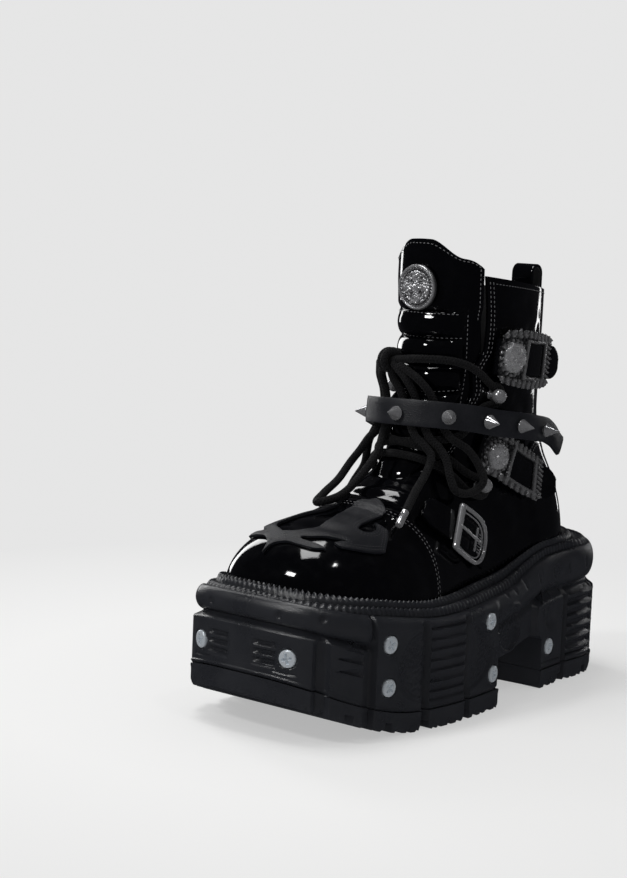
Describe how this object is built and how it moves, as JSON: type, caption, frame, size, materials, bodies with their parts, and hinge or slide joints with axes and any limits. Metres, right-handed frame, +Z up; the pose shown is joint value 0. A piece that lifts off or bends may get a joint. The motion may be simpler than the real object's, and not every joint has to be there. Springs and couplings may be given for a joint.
{
  "type": "platform ankle boot",
  "caption": "Black patent platform ankle boot for the left foot with a padded tongue, tied laces, ornate side buckles, a spiked ankle strap, a side zip and a blocky lugged sole.",
  "frame": {"origin": "on the floor, at the middle of the forefoot tread's back end, half way along the sole", "axes": "+Z up, toe towards -Y, heel towards +Y, outer (lateral) side of this left boot towards +X"},
  "size_m": [0.1207, 0.296, 0.2599],
  "materials": {
    "patent_leather": "black patent, mirror gloss",
    "matte_leather": "black leather, satin",
    "rubber": "black moulded rubber, satin",
    "textile": "black woven lining and zip tape",
    "lace": "black round woven cord",
    "bright_steel": "polished nickel plate",
    "dark_steel": "antiqued nickel plate",
    "zinc_screw": "zinc plated screw head"
  },
  "bodies": {
    "boot": {"aglet_lateral": "bright_steel", "aglet_medial": "bright_steel", "ankle_strap": "matte_leather", "buckle_middle": "dark_steel", "buckle_upper": "dark_steel", "buckle_vamp": "bright_steel", "insole": "textile", "lace_crossings": "lace", "lace_end_lateral": "lace", "lace_end_medial": "lace", "lace_knot": "lace", "lace_loop_lateral": "lace", "lace_loop_medial": "lace", "medallion": "bright_steel", "midsole": "rubber", "outsole_forefoot": "rubber", "outsole_heel": "rubber", "pull_loop": "patent_leather", "screw_lateral_fore_high": "zinc_screw", "screw_lateral_fore_low": "zinc_screw", "screw_lateral_heel": "zinc_screw", "screw_lateral_mid_high": "zinc_screw", "screw_lateral_mid_low": "zinc_screw", "screw_lateral_toe": "zinc_screw", "screw_medial_fore_high": "zinc_screw", "screw_medial_fore_low": "zinc_screw", "screw_medial_heel": "zinc_screw", "screw_medial_mid_high": "zinc_screw", "screw_medial_mid_low": "zinc_screw", "screw_medial_toe": "zinc_screw", "spike_back": "bright_steel", "spike_front": "bright_steel", "spike_front_lateral": "bright_steel", "spike_front_medial": "bright_steel", "spike_low": "bright_steel", "spike_mid": "bright_steel", "spike_side": "bright_steel", "spike_side_back": "bright_steel", "strap_middle": "patent_leather", "strap_upper": "patent_leather", "strap_vamp": "patent_leather", "stud_lower_lateral": "bright_steel", "stud_lower_medial": "bright_steel", "stud_upper_lateral": "bright_steel", "stud_upper_medial": "bright_steel", "tongue": "patent_leather", "upper": "patent_leather", "welt": "rubber", "zip": "textile", "zip_slider": "bright_steel"},
    "pull": {"zip_pull": "bright_steel"}
  },
  "joints": [
    {"name": "zip_pull_hinge", "type": "hinge", "parent": "boot", "child": "pull", "pos_m": [-0.03869, 0.05723, 0.2289], "axis": [0.1851, 0.9827, 0], "range_deg": [0, 150]}
  ]
}
